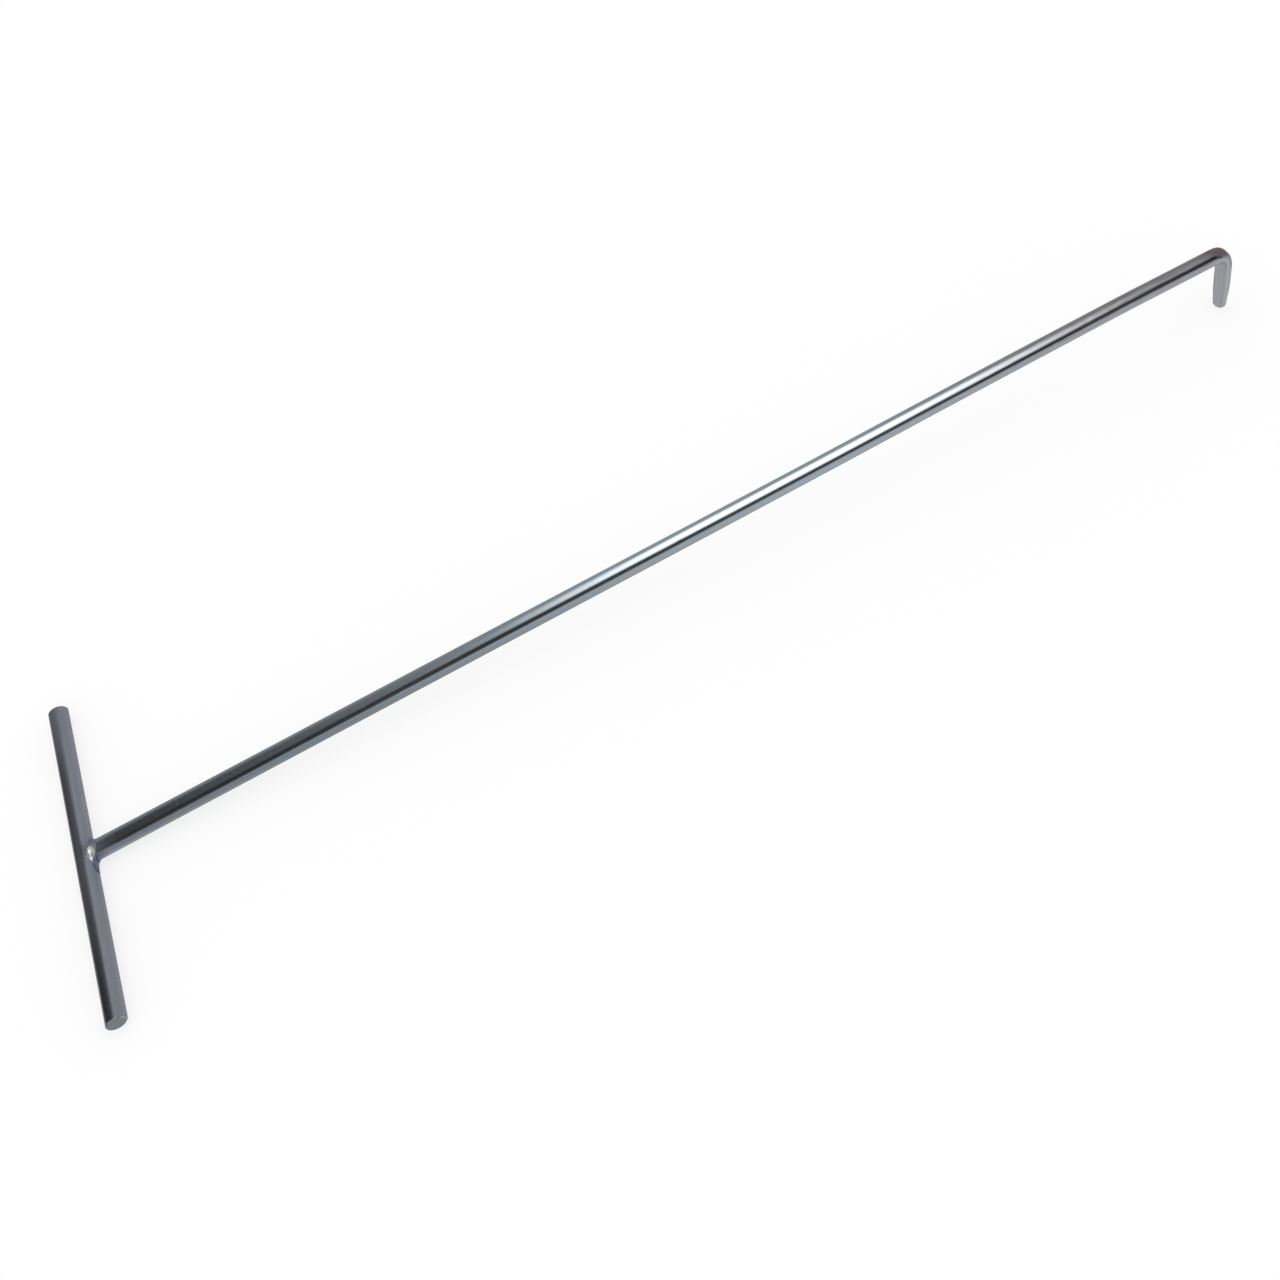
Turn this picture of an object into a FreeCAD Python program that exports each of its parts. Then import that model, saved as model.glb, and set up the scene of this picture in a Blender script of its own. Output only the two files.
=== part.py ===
import FreeCAD, Part
import os

from FreeCAD import Vector

# T-handled pull hook: a straight round bar butt-welded to the middle of a round
# cross bar, with a short tight right-angle hook bent into its far end.
#
# Millimetres. The origin is where the cross bar's axis meets the long bar's axis.
# +X runs along the long bar towards the hook, +Y along the cross bar, +Z up.
# The hook's leg points down, along -Z.

# ---- bars ----
BAR_D = 10.0            # both bars are the same round stock
REACH = 700.0           # cross bar axis to hook leg axis
HANDLE_LEN = 170.0      # cross bar, end to end
HANDLE_CHAMFER = 0.7    # both ends of the cross bar
HOOK_DROP = 50.0        # long bar axis to the hook's tip
BEND_INNER_R = 2.0      # inside radius of the hook's bend
TAPER_LEN = 16.0        # start of the leg's taper to the tip
TAPER_D = 8.9           # leg diameter where the taper meets the tip chamfer
TIP_CHAMFER = 0.9       # edge of the hook's tip

BAR_R = BAR_D / 2
BEND_R = BEND_INNER_R + BAR_R   # on the bar's axis
SAWN_END_X = BAR_R              # the long bar starts at the cross bar's crown
BEND_X = REACH - BEND_R         # the straight shank ends and the bend starts

# ---- weld ----
WELD_X = 4.6            # centre of the bead's section, along the long bar
WELD_RING_R = 4.2       # ring radius of the section's centre
WELD_SECTION_R = 2.4    # radius of the section
ROOT_HALF_HEIGHT = 2.2  # unfused root inside the bead, above and below the axis
ROOT_OVERRUN = 1.0      # root cutter's length past the sawn end
CUTTER_SIZE = 40.0      # cutting shapes reach well clear of the bead

X_AXIS = Vector(1, 0, 0)
Y_AXIS = Vector(0, 1, 0)
Z_AXIS = Vector(0, 0, 1)


def profile_face(points):
    """A planar face inside the closed outline through the (x, y, z) points."""
    corners = [Vector(*point) for point in points]
    return Part.Face(Part.makePolygon(corners + corners[:1]))


def one_solid(shape):
    """The single valid solid in a shape, with its seams merged and facing outwards."""
    solids = shape.removeSplitter().Solids
    if len(solids) != 1:
        raise ValueError("expected one solid, got %d" % len(solids))
    solid = solids[0]
    if solid.Volume < 0:
        solid.reverse()
    if not solid.isValid():
        raise ValueError("solid is not valid")
    return solid


def make_handle_bar():
    """Cross bar: half its section in the XY plane, turned about Y."""
    half_len = HANDLE_LEN / 2
    end_r = BAR_R - HANDLE_CHAMFER
    chamfer_y = half_len - HANDLE_CHAMFER
    profile = profile_face([
        (0, -half_len, 0),
        (end_r, -half_len, 0),
        (BAR_R, -chamfer_y, 0),
        (BAR_R, chamfer_y, 0),
        (end_r, half_len, 0),
        (0, half_len, 0),
    ])
    return one_solid(profile.revolve(Vector(0, 0, 0), Y_AXIS, 360))


def make_leg():
    """Hook's leg: straight below the bend, then tapered to a chamfered tip."""
    tip_z = -HOOK_DROP
    tip_r = TAPER_D / 2
    profile = profile_face([
        (REACH, 0, -BEND_R),
        (REACH + BAR_R, 0, -BEND_R),
        (REACH + BAR_R, 0, tip_z + TAPER_LEN),
        (REACH + tip_r, 0, tip_z + TIP_CHAMFER),
        (REACH + tip_r - TIP_CHAMFER, 0, tip_z),
        (REACH, 0, tip_z),
    ])
    return profile.revolve(Vector(REACH, 0, 0), Z_AXIS, 360)


def make_pull_rod():
    """Long bar: flat sawn end at the cross bar, straight shank, bend and leg."""
    shank = Part.makeCylinder(BAR_R, BEND_X - SAWN_END_X, Vector(SAWN_END_X, 0, 0), X_AXIS)
    section = Part.Face(Part.Wire(Part.makeCircle(BAR_R, Vector(BEND_X, 0, 0), X_AXIS)))
    bend = section.revolve(Vector(BEND_X, 0, -BEND_R), Y_AXIS, 90)
    return one_solid(shank.fuse(bend).fuse(make_leg()))


def cutter_box(bottom_z, height):
    """A box centred on the Z axis, standing on bottom_z."""
    corner = Vector(-CUTTER_SIZE / 2, -CUTTER_SIZE / 2, bottom_z)
    return Part.makeBox(CUTTER_SIZE, CUTTER_SIZE, height, corner)


def make_bead():
    """Ring of weld round the sawn end, less both bars and the unfused root."""
    ring = Part.makeTorus(WELD_RING_R, WELD_SECTION_R, Vector(0, 0, 0), X_AXIS)
    ring.translate(Vector(WELD_X, 0, 0))
    handle_cut = Part.makeCylinder(BAR_R, 2 * CUTTER_SIZE, Vector(0, -CUTTER_SIZE, 0), Y_AXIS)
    rod_cut = Part.makeCylinder(BAR_R, CUTTER_SIZE, Vector(SAWN_END_X, 0, 0), X_AXIS)
    root_core = Part.makeCylinder(BAR_R, SAWN_END_X + ROOT_OVERRUN, Vector(0, 0, 0), X_AXIS)
    root_cut = root_core.common(cutter_box(-ROOT_HALF_HEIGHT, 2 * ROOT_HALF_HEIGHT))
    return ring.cut(handle_cut).cut(rod_cut.fuse(root_cut))


def make_weld_half(bead, bottom_z):
    """One weld pass: the bead above or below z = 0, without any loose crumbs."""
    half = bead.common(cutter_box(bottom_z, CUTTER_SIZE))
    return one_solid(max(half.Solids, key=lambda solid: abs(solid.Volume)))


bead = make_bead()
parts = {
    "handle_bar": make_handle_bar(),
    "pull_rod": make_pull_rod(),
    "weld_bead_upper": make_weld_half(bead, 0),
    "weld_bead_lower": make_weld_half(bead, -CUTTER_SIZE),
}

os.makedirs("parts", exist_ok=True)
for name, solid in parts.items():
    solid.exportStep("parts/%s.step" % name)
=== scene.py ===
import math

import bpy
import numpy as np
from mathutils import Matrix, Vector


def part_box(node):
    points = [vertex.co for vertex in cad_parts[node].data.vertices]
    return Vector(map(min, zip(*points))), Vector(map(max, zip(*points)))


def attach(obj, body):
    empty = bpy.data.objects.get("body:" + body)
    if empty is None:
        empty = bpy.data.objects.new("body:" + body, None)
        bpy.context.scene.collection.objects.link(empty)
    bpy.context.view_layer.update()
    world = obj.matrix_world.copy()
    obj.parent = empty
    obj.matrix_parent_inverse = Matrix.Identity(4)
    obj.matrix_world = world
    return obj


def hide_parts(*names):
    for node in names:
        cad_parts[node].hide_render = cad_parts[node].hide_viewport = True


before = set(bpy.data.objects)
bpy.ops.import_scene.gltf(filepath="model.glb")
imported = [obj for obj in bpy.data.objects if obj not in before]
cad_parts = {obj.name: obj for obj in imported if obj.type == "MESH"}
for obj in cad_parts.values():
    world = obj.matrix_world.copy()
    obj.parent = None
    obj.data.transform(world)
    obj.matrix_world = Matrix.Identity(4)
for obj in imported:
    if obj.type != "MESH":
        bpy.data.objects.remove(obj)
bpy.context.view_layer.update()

# A T-handled pull hook: round bar, welded cross bar, short right-angle hook.
# All the mesh work below is in millimetres in the row frame, and is written out in metres.
MM = 0.001
TAU = 2.0 * math.pi

# ------------------------------------------------------------------ sizes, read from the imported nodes
h_lo, h_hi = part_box("handle_bar")
r_lo, r_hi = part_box("pull_rod")
R = (h_hi.x - h_lo.x) / 2 / MM                # bar radius
HALF = (h_hi.y - h_lo.y) / 2 / MM             # half the cross bar
REACH = r_hi.x / MM - R                       # cross bar axis to hook leg axis
DROP = -r_lo.z / MM                           # long bar axis to hook tip
BEND_R = R + 2.0                              # bend radius on the bar's axis
CHAMFER = 0.7
TAPER_LEN = 16.0
TIP_R = 4.45
TIP_CHAMFER = 0.9


# ------------------------------------------------------------------ helpers: smooth repeatable variation
def waves(seed, count, lo, hi):
    """A repeatable smooth wobble in two directions: list of (kx, ky, phase, weight)."""
    rng = np.random.default_rng(seed)
    out = []
    for _ in range(count):
        k = TAU / rng.uniform(lo, hi)
        a = rng.uniform(0, TAU)
        out.append((k * math.cos(a), k * math.sin(a), rng.uniform(0, TAU), rng.uniform(0.5, 1.0)))
    return out


def wobble(w, s, a):
    v = np.zeros(np.broadcast(s, a).shape)
    for kx, ky, ph, wt in w:
        v = v + wt * np.sin(kx * s + ky * a + ph)
    return v / math.sqrt(len(w))


def smooth(x, a, b):
    t = np.clip((x - a) / (b - a), 0, 1)
    return t * t * (3 - 2 * t)


def make_mesh(name, verts_mm, faces, rest_mm=None, zone=None):
    me = bpy.data.meshes.new(name)
    me.from_pydata([tuple(v) for v in np.asarray(verts_mm) * MM], [], faces)
    me.update()
    me.validate()
    me.polygons.foreach_set("use_smooth", [True] * len(me.polygons))
    if rest_mm is not None:
        at = me.attributes.new("rest_mm", "FLOAT_VECTOR", "POINT")
        at.data.foreach_set("vector", np.asarray(rest_mm, np.float32).ravel())
    if zone is not None:
        at = me.attributes.new("zone", "FLOAT_VECTOR", "POINT")
        at.data.foreach_set("vector", np.asarray(zone, np.float32).ravel())
    ob = bpy.data.objects.new(name, me)
    bpy.context.scene.collection.objects.link(ob)
    return ob


def grid_faces(rows, seg, start_tip, end_tip, base=0):
    """Quads between closed rings, and a fan on the single vertex at each end."""
    f = []
    for i in range(rows - 1):
        a0 = base + i * seg
        a1 = a0 + seg
        for j in range(seg):
            k = (j + 1) % seg
            f.append((a0 + j, a0 + k, a1 + k, a1 + j))
    for j in range(seg):
        k = (j + 1) % seg
        f.append((start_tip, base + k, base + j))
        f.append((end_tip, base + (rows - 1) * seg + j, base + (rows - 1) * seg + k))
    return f


def rounded_edge(s_face, r_face, s_body, r_body, fillet, steps):
    """A broken edge from the flat face to the barrel, with both of its corners eased. Returns (s, r) pairs."""
    f, b = np.array([s_face, r_face]), np.array([s_body, r_body])
    inner = np.array([s_face, r_face - fillet])
    outer = np.array([s_body + math.copysign(fillet, s_body - s_face), r_body])
    d = (b - f) / np.linalg.norm(b - f)
    c1, c2 = f + d * fillet, b - d * fillet
    pts = []
    for p0, p1, p2 in ((inner, f, c1), (c2, b, outer)):
        for i in range(steps + 1):
            t = i / steps
            pts.append((1 - t) ** 2 * p0 + 2 * t * (1 - t) * p1 + t * t * p2)
    return pts


def face_rings(s_face, r_edge, n):
    """Rings across an end face, from near its middle to its edge."""
    return [np.array([s_face, r_edge * ((i + 1) / (n + 1))]) for i in range(n)]


# ------------------------------------------------------------------ cross bar
def build_handle(seg=96):
    body_start, body_end = -HALF + CHAMFER, HALF - CHAMFER
    prof = []
    fillet = 0.28
    prof += face_rings(-HALF, R - CHAMFER - fillet, 14)
    prof += rounded_edge(-HALF, R - CHAMFER, body_start, R, fillet, 4)
    n_body = 230
    lo, hi = body_start + fillet, body_end - fillet
    for i in range(1, n_body):
        prof.append(np.array([lo + (hi - lo) * i / n_body, R]))
    prof += list(reversed(rounded_edge(HALF, R - CHAMFER, body_end, R, fillet, 4)))
    prof += list(reversed(face_rings(HALF, R - CHAMFER - fillet, 14)))
    prof = np.array(prof)
    s = prof[:, 0][:, None] * np.ones((1, seg))
    r = prof[:, 1][:, None] * np.ones((1, seg))
    th = (np.arange(seg) / seg * TAU)[None, :] * np.ones((len(prof), 1))
    barrel = smooth(r, R - 0.5, R - 0.05) * (1 - smooth(np.abs(s), HALF - 2.2, HALF - 0.9))

    # barrel: drawn bar isn't quite true, and has small knocks
    rr = r.copy()
    rr += barrel * 0.018 * np.sin(2 * th + 0.7 + 0.02 * s)
    rr += barrel * 0.012 * wobble(waves(11, 7, 9, 40), s, th * R)
    rng = np.random.default_rng(5)
    for _ in range(26):
        s0, t0 = rng.uniform(-HALF + 4, HALF - 4), rng.uniform(0, TAU)
        w, dep = rng.uniform(0.7, 1.5), rng.uniform(0.02, 0.055)
        da = (th - t0 + math.pi) % TAU - math.pi
        rr -= barrel * dep * np.exp(-(((s - s0) / w) ** 2 + (da * R / (w * rng.uniform(0.5, 1.0))) ** 2))

    # ends: cropped in a shear. One edge is rolled over, the other stands as a small burr.
    end = smooth(np.abs(s), HALF - 2.0, HALF - 0.1)
    side = np.sign(s)
    roll = 0.5 + 0.5 * np.cos(th - np.where(side < 0, 1.9, 1.2))
    ss = s.copy()
    edge = smooth(r, R * 0.35, R)
    ss -= side * end * edge * 0.34 * roll ** 2
    rr -= end * 0.14 * roll ** 2 * smooth(r, R * 0.5, R)
    rr += end * 0.05 * (1 - roll) * smooth(r, R - 0.8, R - 0.2) * (0.6 + 0.4 * np.sin(9 * th))
    # face: shear striations and a rougher fracture half
    fy, fz = r * np.cos(th), r * np.sin(th)
    across = np.where(side < 0, fy * math.cos(1.9) + fz * math.sin(1.9), fy * math.cos(4.4) + fz * math.sin(4.4))
    along = np.where(side < 0, -fy * math.sin(1.9) + fz * math.cos(1.9), -fy * math.sin(4.4) + fz * math.cos(4.4))
    face = smooth(np.abs(s), HALF - 0.06, HALF - 0.01) * (1 - smooth(r, R - 1.3, R - 0.9))
    burnish = smooth(across, -0.6, 1.2)
    ss += side * face * (0.035 * burnish * np.sin(along * 6.3 + 0.5 * np.sin(along * 1.7))
                         + 0.06 * (1 - burnish) * wobble(waves(31, 9, 0.8, 2.6), fy, fz)
                         - 0.10 * smooth(across, 0.6, -3.5))
    y, zc, xc = ss, rr * np.cos(th), rr * np.sin(th)
    verts = np.stack([xc, y, zc], -1).reshape(-1, 3)
    rest = np.stack([s, r * np.cos(th), r * np.sin(th)], -1).reshape(-1, 3)
    end_mask = smooth(np.abs(s), HALF - 1.0, HALF - 0.3)
    joint = np.exp(-((np.abs(s) - 0) / 10.0) ** 2) * smooth(np.sin(th), -0.3, 0.9)
    rim = end_mask * np.exp(-(((r - (R - 0.40)) / 0.36) ** 2))
    zone = np.stack([end_mask, joint, rim], -1).reshape(-1, 3)
    tip0, tip1 = len(verts), len(verts) + 1
    verts = np.vstack([verts, [[0, -HALF, 0], [0, HALF, 0]]])
    rest = np.vstack([rest, [[-HALF, 0, 0], [HALF, 0, 0]]])
    zone = np.vstack([zone, [[1, 0, 0], [1, 0, 0]]])
    faces = grid_faces(len(prof), seg, tip0, tip1)
    return make_mesh("cross_bar", verts, faces, rest, zone)


# ------------------------------------------------------------------ long bar with its hook
S_STRAIGHT = REACH - BEND_R - R              # from the sawn end to the bend
S_BEND = BEND_R * math.pi / 2
S_LEG = DROP - BEND_R
S_ALL = S_STRAIGHT + S_BEND + S_LEG


def path(s):
    """Centre and outward normal (in the XZ plane) at arc length s, as arrays."""
    s = np.asarray(s, float)
    a = np.clip((s - S_STRAIGHT) / BEND_R, 0, math.pi / 2)
    x = np.where(s < S_STRAIGHT, R + s, REACH - BEND_R + BEND_R * np.sin(a))
    z = np.where(s < S_STRAIGHT, 0.0, -BEND_R + BEND_R * np.cos(a))
    z = z - np.maximum(s - S_STRAIGHT - S_BEND, 0)
    return x, z, np.sin(a), np.cos(a)


def build_rod(seg=96):
    fillet = 0.25
    prof = []
    prof += face_rings(0.0, R - 0.15 - 0.1, 5)
    prof += rounded_edge(0.0, R - 0.15, 0.15, R, 0.1, 2)
    s_now = 0.6
    stations = [s_now]
    while s_now < S_STRAIGHT - 24:
        s_now += 1.45
        stations.append(s_now)
    stations += list(np.linspace(s_now + 0.9, S_STRAIGHT - 3, 28))
    stations += list(np.linspace(S_STRAIGHT - 2.6, S_STRAIGHT + S_BEND + 2.6, 54))
    tip_s = S_ALL
    stations += list(np.linspace(S_STRAIGHT + S_BEND + 3.1, tip_s - TIP_CHAMFER - fillet - 0.3, 56))
    taper0 = S_ALL - TAPER_LEN
    for st in stations:
        k = float(np.clip((st - taper0) / (TAPER_LEN - TIP_CHAMFER), 0, 1))
        k = k * k * (3 - 2 * k) * 0.35 + k * 0.65
        prof.append(np.array([st, R + (TIP_R - R) * k]))
    prof += list(reversed(rounded_edge(tip_s, TIP_R - TIP_CHAMFER, tip_s - TIP_CHAMFER, TIP_R, fillet, 4)))
    prof += list(reversed(face_rings(tip_s, TIP_R - TIP_CHAMFER - fillet, 12)))
    prof = np.array(prof)
    s = prof[:, 0][:, None] * np.ones((1, seg))
    r = prof[:, 1][:, None] * np.ones((1, seg))
    th = (np.arange(seg) / seg * TAU)[None, :] * np.ones((len(prof), 1))
    # th 0 is +Y, th 90 degrees is the outward side (up on the bar, +X on the leg)
    barrel = smooth(s, 0.4, 1.2) * (1 - smooth(s, S_ALL - 2.4, S_ALL - 1.2))
    rr = r.copy()
    rr += barrel * 0.012 * np.sin(2 * th + 1.9 + 0.006 * s)
    rr += barrel * 0.012 * wobble(waves(21, 8, 12, 55), s, th * R)
    rng = np.random.default_rng(9)
    for _ in range(70):
        s0, t0 = rng.uniform(14, S_STRAIGHT - 8), rng.uniform(0, TAU)
        w, dep = rng.uniform(0.9, 1.9), rng.uniform(0.015, 0.05)
        da = (th - t0 + math.pi) % TAU - math.pi
        rr -= barrel * dep * np.exp(-(((s - s0) / w) ** 2 + (da * R / (w * rng.uniform(0.4, 0.8))) ** 2))

    # bend: stretched thin outside, swollen sideways, upset and slightly puckered inside
    mid = S_STRAIGHT + S_BEND / 2
    k = np.exp(-(((s - mid) / (S_BEND * 0.62)) ** 4))
    out = np.sin(th)
    lateral = np.cos(th) ** 2
    rr += k * 0.22 * lateral
    k_out = np.exp(-(((s - mid - 0.5) / (S_BEND * 0.60)) ** 4))
    rr -= k_out * 1.75 * np.clip(out, 0, 1) ** 1.6
    inner = np.clip(-out, 0, 1) ** 2
    rr += k * inner * (0.10 + 0.05 * np.sin((s - mid) * 2.3))
    # die marks where the bar was gripped for bending
    for s0 in (S_STRAIGHT - 5.5, S_STRAIGHT + S_BEND + 5.0):
        rr -= 0.045 * np.exp(-((s - s0) / 0.9) ** 2) * np.clip(-out, 0, 1) ** 3

    # tip: dressed by hand, more on its +X -Y side
    dress = smooth(s, S_ALL - 24.0, S_ALL - 1.0) * smooth(r, 1.0, 4.0)
    rr -= dress * 0.80 * np.clip(0.5 + 0.5 * np.cos(th - math.radians(116.0)), 0, 1) ** 2.4
    end = smooth(s, S_ALL - TIP_CHAMFER - 2.2, S_ALL - 0.2)
    rr -= end * (0.10 + 0.10 * np.sin(th * 1.0 + 0.8) + 0.05 * np.sin(3 * th)) * smooth(r, 1.5, TIP_R)
    ss = s.copy()
    fy, fz = r * np.cos(th), r * np.sin(th)
    face = smooth(s, S_ALL - 0.05, S_ALL - 0.01) * (1 - smooth(r, TIP_R - 1.6, TIP_R - 1.1))
    ss += face * (0.03 * np.sin(fy * 7.0 + 0.4 * np.sin(fz * 1.3)) - 0.03)

    x, z, nx, nz = path(ss)
    # the bar is a fraction of a millimetre out of true along its length
    t = np.clip(ss / S_STRAIGHT, 0, 1)
    bow = np.sin(math.pi * t) ** 2
    step_up = smooth(ss, 380, 540)
    oy = 0.12 * bow * np.sin(2.6 * t * math.pi + 0.4) + 0.25 * step_up * (1 - smooth(ss, 610, 690))
    oz = 0.10 * bow * np.sin(3.3 * t * math.pi + 1.1) + 0.28 * step_up - 0.80 * smooth(ss, 610, 688)
    X = x + rr * np.sin(th) * nx
    Y = rr * np.cos(th) + oy
    Z = z + rr * np.sin(th) * nz + oz
    verts = np.stack([X, Y, Z], -1).reshape(-1, 3)
    rest = np.stack([s, r * np.cos(th), r * np.sin(th)], -1).reshape(-1, 3)
    near_bend = np.exp(-(((s - mid) / 13.0) ** 2))
    far = smooth(s, S_STRAIGHT * 0.55, S_STRAIGHT * 0.95)
    joint = np.exp(-(((s + R) / 12.0) ** 2))
    endm = np.maximum(smooth(s, S_ALL - 1.0, S_ALL - 0.4), 1 - smooth(s, 0.1, 0.5))
    zone = np.stack([endm, joint, np.maximum(near_bend, 0.0) + 2.0 * far], -1).reshape(-1, 3)
    tip0, tip1 = len(verts), len(verts) + 1
    verts = np.vstack([verts, [[R, 0, 0], [REACH, 0, -DROP]]])
    rest = np.vstack([rest, [[0, 0, 0], [S_ALL, 0, 0]]])
    zone = np.vstack([zone, [[1, 1, 0], [1, 0, 2]]])
    faces = grid_faces(len(prof), seg, tip0, tip1)
    faces = [tuple(reversed(f)) for f in faces]
    return make_mesh("hooked_bar", verts, faces, rest, zone)


# ------------------------------------------------------------------ weld
def build_bead(name, sign, seed):
    """One pass of weld over the joint (sign +1) or under it (-1), run from the +Y crotch to the -Y crotch."""
    n_u, n_v, n_in = 200, 30, 10
    a0, a1 = math.radians(-12), math.radians(192)
    u = np.linspace(0, 1, n_u)[:, None]
    th = a0 + (a1 - a0) * u
    c, s_ = np.cos(th), np.sin(th)
    w = waves(seed, 5, 4, 13)
    arc = th * 6.0
    rng_w = 1.0 + 0.03 * wobble(w, arc, 0 * arc)
    deg = np.degrees(th)
    near = smooth(c, 0.35, 1.0)                # the +Y crotch: a small hollow fillet
    right = smooth(-c, 0.30, 1.0)              # the -Y crotch: the pass runs out along the cross bar
    mid_deg, wide = (104.0, 30.0) if sign > 0 else (75.0, 30.0)
    hump = np.exp(-(((deg - mid_deg) / wide) ** 4))
    # toe on the cross bar, by its angle round that bar
    sin_psi = np.clip(0.87 * np.sign(s_) * np.abs(s_) ** 0.55 + 0.085 * np.exp(-(((deg - mid_deg) / 26.0) ** 2)) + 0.008 * wobble(w, arc + 3, 0 * arc), -0.985, 0.985)
    toe_y = (6.5 + 0.1 * near + (6.0 if sign > 0 else 3.4) * right) * rng_w
    # toe on the long bar
    toe_x = 6.9 - 0.15 * near - 1.35 * right + 0.10 * hump + 0.12 * wobble(w, arc + 9, 0 * arc)
    A = np.concatenate([R * np.sqrt(1 - sin_psi ** 2), toe_y * c, R * sin_psi], 1)
    B = np.concatenate([toe_x, R * c, R * s_], 1)
    mid = (A + B) / 2
    hidden = np.concatenate([3.4 + 0 * c, 3.3 * c, 3.0 * s_], 1)
    O = mid - hidden
    O /= np.linalg.norm(O, axis=1, keepdims=True)
    T = B - A
    T /= np.linalg.norm(T, axis=1, keepdims=True)
    O = O - (O * T).sum(1, keepdims=True) * T
    O /= np.linalg.norm(O, axis=1, keepdims=True)
    height = (0.40 * s_ ** 2 - 0.32 * near - 0.12 * right) * rng_w + (0.22 if sign > 0 else 0.45) * hump
    # both ends of the pass die away
    fade = smooth(u, 0.0, 0.07) * (1 - smooth(u, 0.95, 1.0))
    height = height * (0.25 + 0.75 * fade)
    shrink = 0.12 + 0.88 * np.sqrt(np.clip(fade, 0, 1))
    A = mid + (A - mid) * shrink
    B = mid + (B - mid) * shrink
    rows = []
    rests = []
    zones = []
    for i in range(n_v):
        v = i / (n_v - 1)
        v = v + 0.07 * math.sin(TAU * v) / TAU * -1.0
        soft = float(smooth(v, 0.0, 0.42) * (1 - smooth(v, 0.58, 1.0)))
        crown = float(1 - abs(2 * v - 1) ** 2.4)
        dome = soft * (1 - hump * 0.5) + crown * hump * 0.5
        crescent = 1.15 * (2 * v - 1) ** 2
        ph = (arc / 1.35 + crescent) * TAU
        tooth = (np.sin(ph) + 0.35 * np.sin(2 * ph + 0.6)) * 0.5
        ripple = tooth * 0.035 * crown * fade * (1 - 0.75 * hump)
        # the button of metal where the pass was finished
        away = np.sqrt((np.radians(deg - 109.0) * 5.6) ** 2 + ((v - 0.38) * np.linalg.norm(B - A, axis=1, keepdims=True)) ** 2)
        button = (0.95 if sign > 0 else 0.0) * 0.5 * (1 + np.cos(np.pi * np.clip(away / 3.1, 0, 1))) * float(smooth(v, 0.0, 0.16))
        p = A + (B - A) * v + O * (height * dome + ripple + button - 0.05 * (1 - fade))
        rows.append(p)
        rests.append(np.concatenate([arc, v * 6 + 0 * arc, dome], 1))
        glow = np.exp(-((away / 2.3) ** 4)) if sign > 0 else 0.4 * hump * math.exp(-(((v - 0.42) / 0.50) ** 2))
        zones.append(np.concatenate([0 * arc + abs(2 * v - 1), fade * glow, tooth], 1))
    # back of the bead, sunk a little into both bars
    sinkB = B * 1.0
    sinkB[:, 1:] *= 0.93
    sinkA = A * 1.0
    sinkA[:, 0:1] *= 0.93
    sinkA[:, 2:3] *= 0.93
    root = hidden + (mid - hidden) * (1 - shrink) * 0.8
    for i in range(1, n_in + 1):
        t = i / (n_in + 1)
        p = (1 - t) ** 2 * sinkB + 2 * t * (1 - t) * root + t * t * sinkA
        rows.append(p)
        rests.append(np.concatenate([arc, 6 + t * 5 + 0 * arc, 0 * arc], 1))
        zones.append(np.concatenate([0 * arc + 1, 0 * arc, 0 * arc], 1))
    P = np.stack(rows, 1)                       # n_u x ring x 3
    if sign < 0:
        P[:, :, 2] *= -1
    ring = P.shape[1]
    verts = P.reshape(-1, 3)
    rest = np.stack(rests, 1).reshape(-1, 3)
    zone = np.stack(zones, 1).reshape(-1, 3)
    t0, t1 = len(verts), len(verts) + 1
    verts = np.vstack([verts, [P[0].mean(0), P[-1].mean(0)]])
    rest = np.vstack([rest, [rest[0], rest[-1]]])
    zone = np.vstack([zone, [[1, 0, 0], [1, 0, 0]]])
    faces = grid_faces(n_u, ring, t0, t1)
    if sign < 0:
        faces = [tuple(reversed(f)) for f in faces]
    return make_mesh(name, verts, faces, rest, zone)


def outward(ob):
    """Turn a closed mesh's faces outwards if its volume is negative."""
    import bmesh
    bm = bmesh.new()
    bm.from_mesh(ob.data)
    if bm.calc_volume(signed=True) < 0:
        bmesh.ops.reverse_faces(bm, faces=bm.faces)
    bm.to_mesh(ob.data)
    bm.free()
    ob.data.update()


cross_bar = build_handle()
hooked_bar = build_rod()
bead_upper = build_bead("weld_pass_upper", 1, 41)
bead_lower = build_bead("weld_pass_lower", -1, 42)
for ob in (cross_bar, hooked_bar, bead_upper, bead_lower):
    outward(ob)


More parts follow.
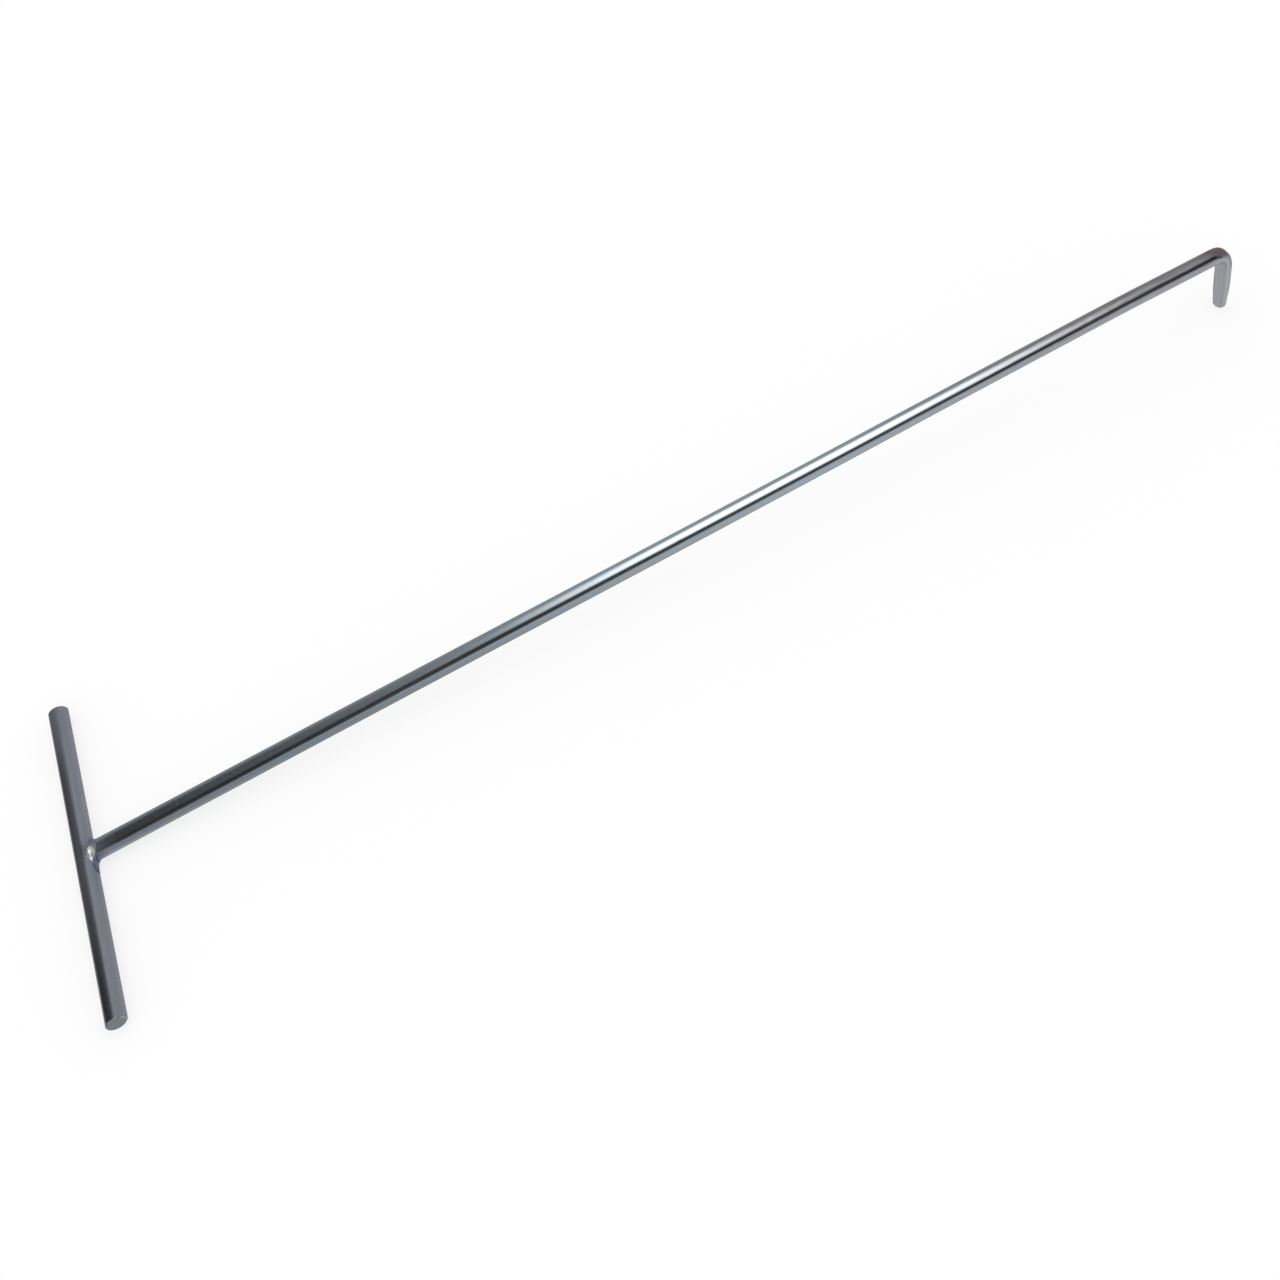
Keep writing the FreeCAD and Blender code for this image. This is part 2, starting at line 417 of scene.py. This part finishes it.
# ------------------------------------------------------------------ node helpers
class Nodes:
    def __init__(self, tree):
        self.tree = tree
        self.n = tree.nodes
        self.l = tree.links

    def new(self, kind, **kw):
        node = self.n.new(kind)
        for k, v in kw.items():
            setattr(node, k, v)
        return node

    def put(self, sock, val):
        if isinstance(val, bpy.types.NodeSocket):
            self.l.new(val, sock)
        elif isinstance(val, (tuple, list)):
            sock.default_value = (*val, 1.0) if len(val) == 3 and len(sock.default_value) == 4 else val
        else:
            sock.default_value = val

    def math(self, op, a, b=None, c=None, clamp=False):
        m = self.new("ShaderNodeMath", operation=op, use_clamp=clamp)
        self.put(m.inputs[0], a)
        if b is not None:
            self.put(m.inputs[1], b)
        if c is not None:
            self.put(m.inputs[2], c)
        return m.outputs[0]

    def add(self, *v):
        out = v[0]
        for x in v[1:]:
            out = self.math("ADD", out, x)
        return out

    def mul(self, *v):
        out = v[0]
        for x in v[1:]:
            out = self.math("MULTIPLY", out, x)
        return out

    def sub(self, a, b):
        return self.math("SUBTRACT", a, b)

    def step(self, x, a, b, lo=0.0, hi=1.0):
        m = self.new("ShaderNodeMapRange", interpolation_type="SMOOTHSTEP")
        rev = a > b
        self.put(m.inputs["Value"], x)
        m.inputs["From Min"].default_value = b if rev else a
        m.inputs["From Max"].default_value = a if rev else b
        m.inputs["To Min"].default_value = hi if rev else lo
        m.inputs["To Max"].default_value = lo if rev else hi
        return m.outputs["Result"]

    def gauss(self, x, c, w):
        d = self.math("DIVIDE", self.sub(x, c), w)
        return self.math("EXPONENT", self.mul(self.mul(d, d), -1.0))

    def mix(self, f, a, b):
        m = self.new("ShaderNodeMix", data_type="RGBA")
        self.put(m.inputs["Factor"], f)
        self.put(m.inputs["A"], a)
        self.put(m.inputs["B"], b)
        return m.outputs["Result"]

    def blend(self, kind, f, a, b):
        m = self.new("ShaderNodeMix", data_type="RGBA", blend_type=kind)
        self.put(m.inputs["Factor"], f)
        self.put(m.inputs["A"], a)
        self.put(m.inputs["B"], b)
        return m.outputs["Result"]

    def scale(self, vec, xyz):
        m = self.new("ShaderNodeVectorMath", operation="MULTIPLY")
        self.put(m.inputs[0], vec)
        m.inputs[1].default_value = xyz
        return m.outputs[0]

    def noise(self, vec, scale, detail=3.0, rough=0.5, dist=0.0):
        m = self.new("ShaderNodeTexNoise")
        self.put(m.inputs["Vector"], vec)
        m.inputs["Scale"].default_value = scale
        m.inputs["Detail"].default_value = detail
        m.inputs["Roughness"].default_value = rough
        m.inputs["Distortion"].default_value = dist
        return m.outputs["Fac"]

    def attr(self, name):
        a = self.new("ShaderNodeAttribute", attribute_name=name)
        return a.outputs["Vector"]

    def xyz(self, vec):
        m = self.new("ShaderNodeSeparateXYZ")
        self.put(m.inputs[0], vec)
        return m.outputs


def zinc(name, rough, cool, warm, line_strength, tint_joint, joint_rough):
    """Bright zinc plate on drawn bar. rest_mm runs along the bar, so lines and streaks follow it round the bend."""
    mat = bpy.data.materials.new(name)
    mat.use_nodes = True
    N = Nodes(mat.node_tree)
    bsdf = N.n["Principled BSDF"]
    rest = N.attr("rest_mm")
    zone = N.xyz(N.attr("zone"))
    end, joint, aux = zone[0], zone[1], zone[2]

    # drawing lines, fine and long, and shorter handling scratches
    lines = N.noise(N.scale(rest, (0.018, 2.6, 2.6)), 1.0, 4.0, 0.62)
    lines_fine = N.noise(N.scale(rest, (0.05, 7.5, 7.5)), 1.0, 3.0, 0.6)
    streak = N.noise(N.scale(rest, (0.010, 0.55, 0.55)), 1.0, 3.0, 0.55)
    cloud = N.noise(N.scale(rest, (0.035, 0.16, 0.16)), 1.0, 3.0, 0.5, 0.4)
    blotch = N.noise(rest, 0.9, 4.0, 0.6, 0.3)
    peel = N.noise(rest, 2.3, 2.0, 0.5)

    scr = N.new("ShaderNodeTexVoronoi", feature="DISTANCE_TO_EDGE")
    N.put(scr.inputs["Vector"], N.scale(rest, (0.10, 0.55, 0.55)))
    scr.inputs["Scale"].default_value = 1.0
    scratch = N.step(scr.outputs["Distance"], 0.012, 0.0)
    scratch = N.mul(scratch, N.step(blotch, 0.50, 0.66))

    # colour: cool zinc, drifting to faint violet, straw and green where the passivation is thicker
    col = N.mix(N.step(cloud, 0.30, 0.72), cool, warm)
    hue = N.noise(N.scale(rest, (0.05, 0.22, 0.22)), 1.0, 2.0, 0.5, 0.8)
    col = N.mix(N.mul(N.step(hue, 0.56, 0.74), 0.42), col, (0.52, 0.53, 0.66))
    col = N.mix(N.mul(N.step(hue, 0.42, 0.26), 0.36), col, (0.60, 0.66, 0.62))
    col = N.mix(N.mul(N.step(streak, 0.55, 0.75), 0.30), col, (0.50, 0.50, 0.53))
    col = N.mix(N.mul(scratch, 0.35), col, (0.82, 0.83, 0.85))
    # heat and weld smut near the joint, under the plate
    tint = N.mul(joint, N.step(N.noise(rest, 0.45, 3.0, 0.6), 0.32, 0.62))
    col = N.mix(N.mul(tint, tint_joint), col, (0.33, 0.36, 0.58))
    # cut ends: duller
    col = N.mix(N.mul(end, 0.75), col, (0.37, 0.42, 0.43))
    N.put(bsdf.inputs["Base Color"], col)
    bsdf.inputs["Metallic"].default_value = 1.0

    r = N.add(rough, N.mul(N.sub(streak, 0.5), 0.22), N.mul(N.sub(blotch, 0.5), 0.10), N.mul(N.sub(lines, 0.5), 0.12))
    r = N.add(r, N.mul(end, 0.16), N.mul(joint, joint_rough), N.mul(scratch, 0.12))
    N.put(bsdf.inputs["Roughness"], N.math("MAXIMUM", r, 0.08))
    bsdf.inputs["Anisotropic"].default_value = 0.35

    h = N.add(N.mul(lines, 0.0042 * line_strength), N.mul(lines_fine, 0.0016 * line_strength),
              N.mul(peel, 0.0022), N.mul(scratch, -0.004), N.mul(blotch, 0.0016))
    b = N.new("ShaderNodeBump")
    b.inputs["Strength"].default_value = 1.0
    b.inputs["Distance"].default_value = 0.001
    N.put(b.inputs["Height"], h)
    N.put(bsdf.inputs["Normal"], b.outputs["Normal"])
    return mat, N, bsdf, aux, rest, col


def weld_metal(name):
    mat = bpy.data.materials.new(name)
    mat.use_nodes = True
    N = Nodes(mat.node_tree)
    bsdf = N.n["Principled BSDF"]
    rest = N.attr("rest_mm")
    zone = N.xyz(N.attr("zone"))
    toe, hump, tooth = zone[0], zone[1], zone[2]
    n1 = N.noise(rest, 1.3, 4.0, 0.6)
    n2 = N.noise(N.scale(rest, (0.6, 0.25, 1.0)), 1.0, 3.0, 0.5, 0.6)
    # dull grey zinc at the toes, heat colours between, and a painted highlight, near white with a yellow-green edge,
    # on the button where the pass was finished
    col = N.mix(N.step(n2, 0.35, 0.65), (0.33, 0.36, 0.41), (0.37, 0.38, 0.43))
    late = N.step(N.xyz(rest)[0], 11.6, 13.6)         # the pass ends on the -Y side, and the heat shows there
    col = N.mix(N.mul(N.step(n2, 0.48, 0.70), N.step(toe, 0.95, 0.3), 0.30), col, (0.26, 0.27, 0.52))
    col = N.mix(N.mul(late, N.add(0.45, N.mul(N.step(n2, 0.40, 0.65), 0.40))), col, (0.27, 0.30, 0.55))
    # painted shade: the toes of the pass are darkened towards its -Y end, where it runs into the crotch
    col = N.mix(N.mul(late, N.step(toe, 0.45, 0.78), 0.85), col, (0.13, 0.15, 0.22))
    # painted shade in the valleys between the ripples
    col = N.mix(N.mul(N.step(tooth, 0.1, -0.45), 0.25), col, (0.20, 0.20, 0.25))
    # painted highlight on the button: a yellow-green edge, then a near-white middle
    col = N.mix(N.mul(N.step(hump, 0.10, 0.30), N.step(hump, 0.62, 0.34), 0.55), col, (0.50, 0.55, 0.40))
    col = N.mix(N.step(hump, 0.25, 0.62), col, (0.93, 0.94, 0.91))
    N.put(bsdf.inputs["Base Color"], col)
    bsdf.inputs["Metallic"].default_value = 1.0
    r = N.add(0.37, N.mul(N.sub(n1, 0.5), 0.16), N.mul(N.step(hump, 0.1, 0.7), 0.05))
    N.put(bsdf.inputs["Roughness"], N.math("MAXIMUM", r, 0.07))
    b = N.new("ShaderNodeBump")
    b.inputs["Strength"].default_value = 1.0
    b.inputs["Distance"].default_value = 0.001
    N.put(b.inputs["Height"], N.add(N.mul(n1, 0.03), N.mul(N.noise(rest, 3.7, 2.0, 0.5), 0.008)))
    N.put(bsdf.inputs["Normal"], b.outputs["Normal"])
    return mat


handle_mat, HN, handle_bsdf, rim, handle_rest, handle_col = zinc("zinc_cross_bar", 0.36, (0.475, 0.510, 0.572), (0.505, 0.520, 0.590), 1.0, 0.55, 0.05)
# a darker patch beside the finish of the weld, and a heat line that runs away from it along the cross bar
hy, hz, hx = HN.xyz(handle_rest)
dark_beside_weld = HN.mul(HN.gauss(hy, 0.4, 4.2), HN.gauss(hx, 0.9, 1.5), HN.step(hz, 1.0, 4.0))
handle_col = HN.mix(HN.mul(dark_beside_weld, 0.62), handle_col, (0.19, 0.20, 0.25))
heat = HN.mul(HN.gauss(hz, 3.05, 0.85), HN.step(hx, 1.0, 3.0), HN.step(hy, -26.0, -15.0), HN.step(hy, -2.0, -6.0))
handle_col = HN.mix(HN.mul(heat, 0.50), handle_col, (0.30, 0.36, 0.53))
# painted highlight: the rims of the end faces are lightened in colour
HN.put(handle_bsdf.inputs["Base Color"], HN.mix(HN.mul(rim, 0.12), handle_col, (0.78, 0.80, 0.82)))
# the far end is duller, the near end and the edges are handled brighter
handle_rough = handle_bsdf.inputs["Roughness"].links[0].from_socket
HN.put(handle_bsdf.inputs["Roughness"], HN.add(handle_rough, HN.mul(rim, -0.14), HN.mul(HN.step(hy, 35.0, 84.0), 0.20),
                                             HN.mul(HN.step(hy, -10.0, -80.0), -0.08)))
rod_mat, RN, rod_bsdf, aux, rest_out, rod_col = zinc("zinc_long_bar", 0.20, (0.585, 0.622, 0.652), (0.62, 0.636, 0.660), 1.0, 0.35, 0.20)
# towards the hook the upper side is darker and slightly brown; the bend itself shows a violet cast, and painted shade
# in dark brown on its crest
rx, ry, rz = RN.xyz(rest_out)
near_hook = RN.step(rx, 400.0, 610.0)
upper = RN.mul(near_hook, RN.step(rz, -0.8, 1.4))
grit = RN.noise(RN.scale(rest_out, (0.10, 1.3, 1.3)), 1.0, 4.0, 0.68)
smear = RN.noise(RN.scale(rest_out, (0.045, 0.35, 0.35)), 1.0, 3.0, 0.6, 0.5)
# partly painted shade, partly violet heat tint: the long bar's -Y side is darkened where it meets the cross bar
crotch = RN.mul(RN.step(rx, 6.5, 1.5), RN.step(ry, -3.0, -4.6))
rod_col = RN.mix(RN.mul(crotch, 0.65), rod_col, (0.30, 0.33, 0.47))
col2 = RN.mix(RN.mul(upper, RN.step(grit, 0.30, 0.66), 0.80), rod_col, (0.43, 0.375, 0.375))
col2 = RN.mix(RN.mul(upper, RN.step(smear, 0.52, 0.68), 0.45), col2, (0.52, 0.50, 0.66))
at_bend = RN.gauss(rx, S_STRAIGHT + 3.0, 11.0)
band = RN.mul(RN.gauss(ry, -2.6, 1.5), RN.step(rz, -0.5, 1.5), at_bend)
col2 = RN.mix(RN.mul(band, 0.85), col2, (0.42, 0.40, 0.82))
# painted shade: the crest of the bend is darkened to a dark brown
crest_shade = RN.mul(at_bend, RN.step(rz, 1.5, 4.0))
col2 = RN.mix(RN.mul(crest_shade, 0.90), col2, (0.27, 0.22, 0.20))
# the hook's leg is given a lighter colour
leg = RN.step(rx, S_STRAIGHT + S_BEND - 1.0, S_STRAIGHT + S_BEND + 7.0)
col2 = RN.mix(RN.mul(leg, 0.85), col2, (0.680, 0.700, 0.725))
# the plate is a shade bluer away from the darker upper side near the hook and away from the leg
col2 = RN.blend("MULTIPLY", RN.sub(1.0, RN.math("MAXIMUM", upper, leg)), col2, (0.935, 1.0, 1.035))
RN.put(rod_bsdf.inputs["Base Color"], col2)
rod_rough = rod_bsdf.inputs["Roughness"].links[0].from_socket
RN.put(rod_bsdf.inputs["Roughness"], RN.add(rod_rough, RN.mul(leg, 0.20)))
weld_mat = weld_metal("zinc_weld_bead")

cross_bar.data.materials.append(handle_mat)
hooked_bar.data.materials.append(rod_mat)
bead_upper.data.materials.append(weld_mat)
bead_lower.data.materials.append(weld_mat)

for ob, node, slot in ((cross_bar, "handle_bar", "handle_plate"), (hooked_bar, "pull_rod", "rod_plate"),
                       (bead_upper, "weld_bead_upper", "weld_metal"), (bead_lower, "weld_bead_lower", "weld_metal")):
    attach(ob, "root")
    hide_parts(node)


# ------------------------------------------------------------------ floor: the tool lies on its lowest point at the grip, the lower weld pass, and on its hook tip
pts = []
for ob in (cross_bar, hooked_bar, bead_upper, bead_lower):
    co = np.empty(len(ob.data.vertices) * 3)
    ob.data.vertices.foreach_get("co", co)
    pts.append(co.reshape(-1, 3)[:, (0, 2)])
pts = np.vstack(pts)
grip_end, hook_end = pts[pts[:, 0] < 0.05], pts[pts[:, 0] > 0.60]
slope = 0.06
for _ in range(30):
    # lowest points at each end, measured square to the floor, and the slope of the line through them
    n = np.array([math.sin(slope), math.cos(slope)])
    p = grip_end[np.argmin(grip_end @ n)]
    q = hook_end[np.argmin(hook_end @ n)]
    slope = math.atan2(p[1] - q[1], q[0] - p[0])
floor_mesh = bpy.data.meshes.new("floor")
S = 6.0
floor_mesh.from_pydata([(-S, -S, 0), (S, -S, 0), (S, S, 0), (-S, S, 0)], [], [(0, 1, 2, 3)])
floor = bpy.data.objects.new("floor", floor_mesh)
bpy.context.scene.collection.objects.link(floor)
floor.matrix_world = Matrix.Translation((float(p[0]), 0, float(p[1]) - 0.0001)) @ Matrix.Rotation(slope, 4, "Y")
fm = bpy.data.materials.new("floor_pale")
fm.use_nodes = True
fb = fm.node_tree.nodes["Principled BSDF"]
fb.inputs["Base Color"].default_value = (0.25, 0.25, 0.25, 1)
fb.inputs["Roughness"].default_value = 0.9
fb.inputs["Specular IOR Level"].default_value = 0.0
fb.inputs["Emission Color"].default_value = (1, 1, 1, 1)
fb.inputs["Emission Strength"].default_value = 0.74
floor_mesh.materials.append(fm)
floor.visible_glossy = False

# ------------------------------------------------------------------ light
world = bpy.data.worlds.new("studio")
bpy.context.scene.world = world
world.use_nodes = True
W = Nodes(world.node_tree)
for n in list(W.n):
    W.n.remove(n)
out = W.new("ShaderNodeOutputWorld")
bg = W.new("ShaderNodeBackground")
tc = W.new("ShaderNodeTexCoord")
dx, dy, dz = W.xyz(tc.outputs["Generated"])
lp = W.new("ShaderNodeLightPath")

refl = 0.62                                      # what the metal gives back, so the terms below are what is seen
# floor and walls: dim on the cross bar's side, brighter towards the hook
low = W.add(0.16, W.mul(W.step(dx, -0.30, 0.25), 0.09))
low = W.add(low, W.mul(W.step(dx, -0.05, -0.34), W.step(dz, -0.42, -0.70), 0.15))
low = W.add(low, W.mul(W.step(dy, 0.1, -0.6), W.step(dx, -0.15, 0.15), 0.12))
wall = W.add(0.165, W.mul(W.step(dx, -0.15, 0.15), 0.055), W.mul(W.gauss(dx, 0.12, 0.18), 0.05))
wall = W.sub(wall, W.mul(W.gauss(dx, 0.42, 0.12), W.step(dy, 0.45, 0.70), 0.055))
wall = W.add(wall, W.mul(W.step(dy, -0.4, -0.8), W.step(dx, -0.20, 0.0), 0.11))
wall = W.mul(wall, W.add(1.0, W.mul(W.step(dz, 0.10, 0.80), W.step(dx, 0.05, -0.20), W.step(dy, -0.50, -0.20), -0.88)))
wall = W.add(wall, W.mul(W.step(dx, -0.30, -0.55), W.step(dy, 0.10, -0.35), 0.20))
up = W.step(dz, -0.10, 0.12)
env = W.add(W.mul(low, W.sub(1.0, up)), W.mul(wall, up))
# dark card behind the viewer's shoulder
over = W.step(dx, 0.05, 0.35)
card = W.mul(W.step(W.add(dy, W.mul(over, 0.08)), -0.24, -0.42), W.step(W.add(dz, W.mul(over, 0.13)), 0.14, 0.52), W.step(dx, 0.85, 0.6), W.step(dx, -0.52, -0.34))
env = W.mul(env, W.sub(1.0, W.mul(card, 0.95)))
# dark side wall beyond the cross bar
left = W.mul(W.step(dx, -0.42, -0.68), W.step(dz, -0.42, -0.06), W.step(dy, 0.10, 0.40))
env = W.mul(env, W.sub(1.0, W.mul(left, 0.97)))
# that dark side fades towards +Y
env = W.add(env, W.mul(W.step(dx, -0.24, -0.42), W.step(dz, -0.22, 0.06), W.step(dy, 0.57, 0.80), 0.26))
env = W.math("DIVIDE", env, refl)
comb = W.new("ShaderNodeCombineColor")
W.put(comb.inputs[0], W.mul(env, 0.985))
W.put(comb.inputs[1], env)
W.put(comb.inputs[2], W.mul(env, 1.02))
glossy = comb.outputs[0]
plain = W.mix(lp.outputs["Is Camera Ray"], (1.0, 1.0, 1.0), (0.99, 0.99, 0.99))
W.put(bg.inputs["Color"], W.mix(lp.outputs["Is Glossy Ray"], plain, glossy))
bg.inputs["Strength"].default_value = 1.0
W.l.new(bg.outputs[0], out.inputs["Surface"])

key = bpy.data.lights.new("key", "AREA")
key.shape = "RECTANGLE"
key.size, key.size_y = 1.4, 1.0
key.energy = 1.2
key_ob = bpy.data.objects.new("key", key)
key_ob.location = (0.45, 0.15, 1.6)
key_ob.rotation_euler = (Vector((0.35, 0, 0)) - key_ob.location).to_track_quat("-Z", "Y").to_euler()
key_ob.visible_glossy = False
bpy.context.scene.collection.objects.link(key_ob)


def reflection_card(name, x0, x1, y0, y1, z, lean, radiance, edges, receivers):
    """A soft-edged light overhead that shows only as a reflection, and only in the pieces given.
    It slides by lean metres in y from its x0 side to its x1 side."""
    span = y1 - y0 + abs(lean)
    la = bpy.data.lights.new(name, "AREA")
    la.shape = "RECTANGLE"
    la.size, la.size_y = x1 - x0, span
    la.energy = math.pi * (x1 - x0) * span * radiance
    la.use_nodes = True
    L = Nodes(la.node_tree)
    em = L.n["Emission"]
    geo = L.new("ShaderNodeNewGeometry")
    u, v, _ = L.xyz(geo.outputs["Parametric"])
    ux0, ux1, vy0, vy1 = edges
    v = L.sub(L.mul(L.sub(v, 0.5), span / (y1 - y0)), L.mul(L.sub(u, 0.5), lean / (y1 - y0)))
    v = L.add(v, 0.5)
    soft = L.mul(L.step(u, 0.0, ux0), L.step(u, 1.0, 1.0 - ux1), L.step(v, 0.0, vy0), L.step(v, 1.0, 1.0 - vy1))
    L.put(em.inputs["Strength"], soft)
    ob = bpy.data.objects.new(name, la)
    ob.location = ((x0 + x1) / 2, (y0 + y1) / 2, z)
    ob.visible_diffuse = False
    ob.visible_camera = False
    bpy.context.scene.collection.objects.link(ob)
    col = bpy.data.collections.new(name + "_lit")
    for r_ in receivers:
        col.objects.link(r_)
    ob.light_linking.receiver_collection = col
    return ob


reflection_card("overhead", 0.20, 0.97, -0.54, 0.83, 0.60, -0.345, 1.75, (0.26, 0.49, 0.27, 0.62), (hooked_bar,))


def small_light(name, aim, direction, distance, size, radiance, receivers):
    """A small light that shows only as a glint, and only in the pieces given."""
    la = bpy.data.lights.new(name, "AREA")
    la.shape = "DISK"
    la.size = size
    la.energy = math.pi * math.pi * size * size / 4 * radiance
    ob = bpy.data.objects.new(name, la)
    d = Vector(direction).normalized()
    ob.location = Vector(aim) + d * distance
    ob.rotation_euler = (-d).to_track_quat("-Z", "Y").to_euler()
    ob.visible_diffuse = False
    ob.visible_camera = False
    bpy.context.scene.collection.objects.link(ob)
    col = bpy.data.collections.new(name + "_lit")
    for r_ in receivers:
        col.objects.link(r_)
    ob.light_linking.receiver_collection = col
    return ob


small_light("weld_glint", (0.0035, -0.0025, 0.006), (-0.38, 0.08, 0.92), 0.55, 0.66, 1.75, (bead_upper, bead_lower))
small_light("end_glint", (0.0, -0.085, 0.0045), (0.03, -0.62, 0.78), 0.80, 0.11, 42.0, (cross_bar,))

scene = bpy.context.scene
scene.view_settings.view_transform = "Standard"
scene.view_settings.look = "None"
scene.view_settings.exposure = 0.0
scene.view_settings.gamma = 1.0

# ------------------------------------------------------------------ camera, at the photograph's viewing angle
cam_pos = Vector((0.23082679763513077, -0.4956488698289245, 0.7982467786611377))
right = Vector((0.8827818342554842, -0.450329734945256, -0.13378850074897433))
down = Vector((-0.3887256317130953, -0.5402999990853337, -0.7463030847032883))
fwd = Vector((0.2637965434909597, 0.7108298254944878, -0.6520217349365729))
FOCAL_PX, CX, CY, SIDE = 1643.8358855762424, 733.62088091, 10.41994114, 1280.0
cam = bpy.data.cameras.new("camera")
cam.sensor_fit = "HORIZONTAL"
cam.sensor_width = 36.0
cam.lens = FOCAL_PX / SIDE * 36.0
cam.clip_start, cam.clip_end = 0.01, 50.0
cam_ob = bpy.data.objects.new("camera", cam)
bpy.context.scene.collection.objects.link(cam_ob)
m = Matrix.Identity(4)
for i in range(3):
    m[i][0], m[i][1], m[i][2], m[i][3] = right[i], -down[i], -fwd[i], cam_pos[i]
cam_ob.matrix_world = m
# The photograph is a crop of a wider frame, so its lens axis isn't at its middle. The lens shift that
# reproduces the crop holds only at this viewpoint: from anywhere else the shift is zero.
shift = ((SIDE / 2 - CX) / SIDE, (CY - SIDE / 2) / SIDE)
here = bpy.data.objects.new("photo_viewpoint", None)
here.location = cam_pos
bpy.context.scene.collection.objects.link(here)
for name, value in (("shift_x", shift[0]), ("shift_y", shift[1])):
    setattr(cam, name, value)
    fc = cam.driver_add(name)
    while fc.modifiers:
        fc.modifiers.remove(fc.modifiers[0])
    fc.driver.type = "SUM"
    v = fc.driver.variables.new()
    v.name = "away"
    v.type = "LOC_DIFF"
    v.targets[0].id = cam_ob
    v.targets[1].id = here
    for at, val in ((-1.0, value), (0.01, value), (0.06, 0.0), (10.0, 0.0)):
        kp = fc.keyframe_points.insert(at, val)
        kp.interpolation = "LINEAR"
scene.camera = cam_ob
